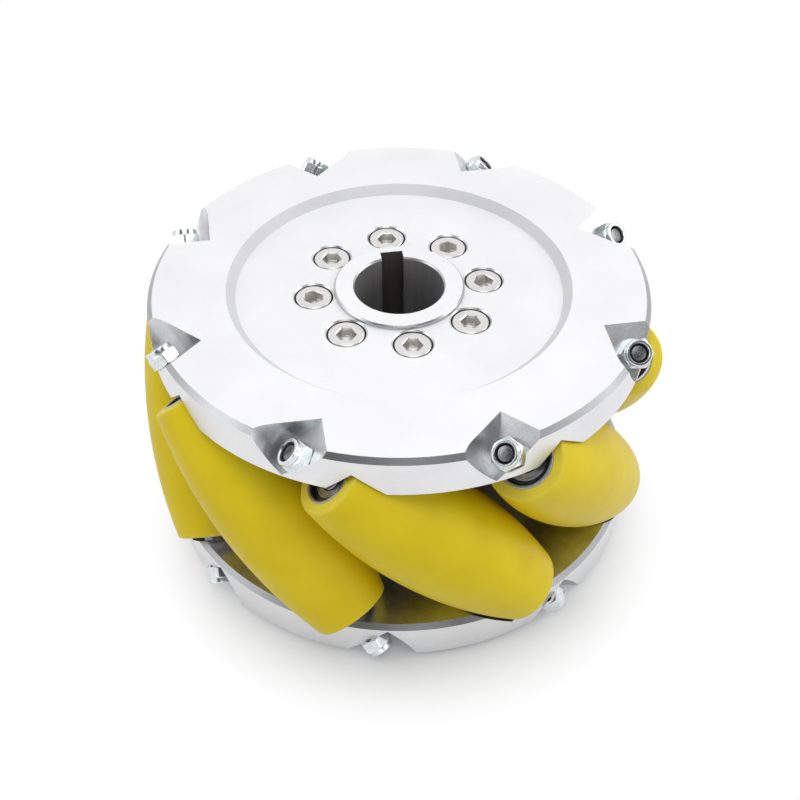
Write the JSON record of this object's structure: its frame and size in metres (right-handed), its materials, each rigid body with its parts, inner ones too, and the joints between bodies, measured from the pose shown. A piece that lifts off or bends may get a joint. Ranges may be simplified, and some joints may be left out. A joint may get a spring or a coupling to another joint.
{
  "type": "mecanum wheel",
  "caption": "Omnidirectional drive wheel: barrel rollers set at 45 degrees between two rim plates on a keyed hub.",
  "frame": {"origin": "centre of the bore, midway between the two outer faces", "axes": "+Z along the wheel's axis towards the outer plate, +X through roller 1's crown, keyway towards +Y"},
  "size_m": [0.1524, 0.1524, 0.0804],
  "materials": {
    "plate": "fine bead-blasted aluminium, clear anodised",
    "hub": "turned aluminium with a reamed bore",
    "screw": "plain stainless steel",
    "nut": "bright zinc-plated steel",
    "insert": "dark nylon",
    "spacer": "turned steel",
    "axle": "plain steel",
    "race": "ground bearing steel",
    "tread": "moulded yellow polyurethane, satin",
    "core": "turned aluminium tube"
  },
  "bodies": {
    "wheel_frame": {"outer_plate": "plate", "inner_plate": "plate", "hub": "hub", "outer_screws": "screw", "inner_screws": "screw", "lock_nuts": "nut", "nut_inserts": "insert", "end_spacers": "spacer", "spacer_tubes": "spacer", "axle_1": "axle", "axle_2": "axle", "axle_3": "axle", "axle_4": "axle", "axle_5": "axle", "axle_6": "axle", "axle_7": "axle", "axle_8": "axle", "inner_races_1": "race", "inner_races_2": "race", "inner_races_3": "race", "inner_races_4": "race", "inner_races_5": "race", "inner_races_6": "race", "inner_races_7": "race", "inner_races_8": "race"},
    "roller_1": {"tread_1": "tread", "core_1": "core", "outer_races_1": "race"},
    "roller_2": {"tread_2": "tread", "core_2": "core", "outer_races_2": "race"},
    "roller_3": {"tread_3": "tread", "core_3": "core", "outer_races_3": "race"},
    "roller_4": {"tread_4": "tread", "core_4": "core", "outer_races_4": "race"},
    "roller_5": {"tread_5": "tread", "core_5": "core", "outer_races_5": "race"},
    "roller_6": {"tread_6": "tread", "core_6": "core", "outer_races_6": "race"},
    "roller_7": {"tread_7": "tread", "core_7": "core", "outer_races_7": "race"},
    "roller_8": {"tread_8": "tread", "core_8": "core", "outer_races_8": "race"}
  },
  "joints": [
    {"name": "roller_1_spin", "type": "hinge", "parent": "wheel_frame", "child": "roller_1", "pos_m": [0.0597, 0, 0], "axis": [0, -0.7071, 0.7071], "continuous": true},
    {"name": "roller_2_spin", "type": "hinge", "parent": "wheel_frame", "child": "roller_2", "pos_m": [0.04221, 0.04221, 0], "axis": [0.5, -0.5, 0.7071], "continuous": true},
    {"name": "roller_3_spin", "type": "hinge", "parent": "wheel_frame", "child": "roller_3", "pos_m": [0, 0.0597, 0], "axis": [0.7071, 0, 0.7071], "continuous": true},
    {"name": "roller_4_spin", "type": "hinge", "parent": "wheel_frame", "child": "roller_4", "pos_m": [-0.04221, 0.04221, 0], "axis": [0.5, 0.5, 0.7071], "continuous": true},
    {"name": "roller_5_spin", "type": "hinge", "parent": "wheel_frame", "child": "roller_5", "pos_m": [-0.0597, 0, 0], "axis": [0, 0.7071, 0.7071], "continuous": true},
    {"name": "roller_6_spin", "type": "hinge", "parent": "wheel_frame", "child": "roller_6", "pos_m": [-0.04221, -0.04221, 0], "axis": [-0.5, 0.5, 0.7071], "continuous": true},
    {"name": "roller_7_spin", "type": "hinge", "parent": "wheel_frame", "child": "roller_7", "pos_m": [0, -0.0597, 0], "axis": [-0.7071, 0, 0.7071], "continuous": true},
    {"name": "roller_8_spin", "type": "hinge", "parent": "wheel_frame", "child": "roller_8", "pos_m": [0.04221, -0.04221, 0], "axis": [-0.5, -0.5, 0.7071], "continuous": true}
  ]
}
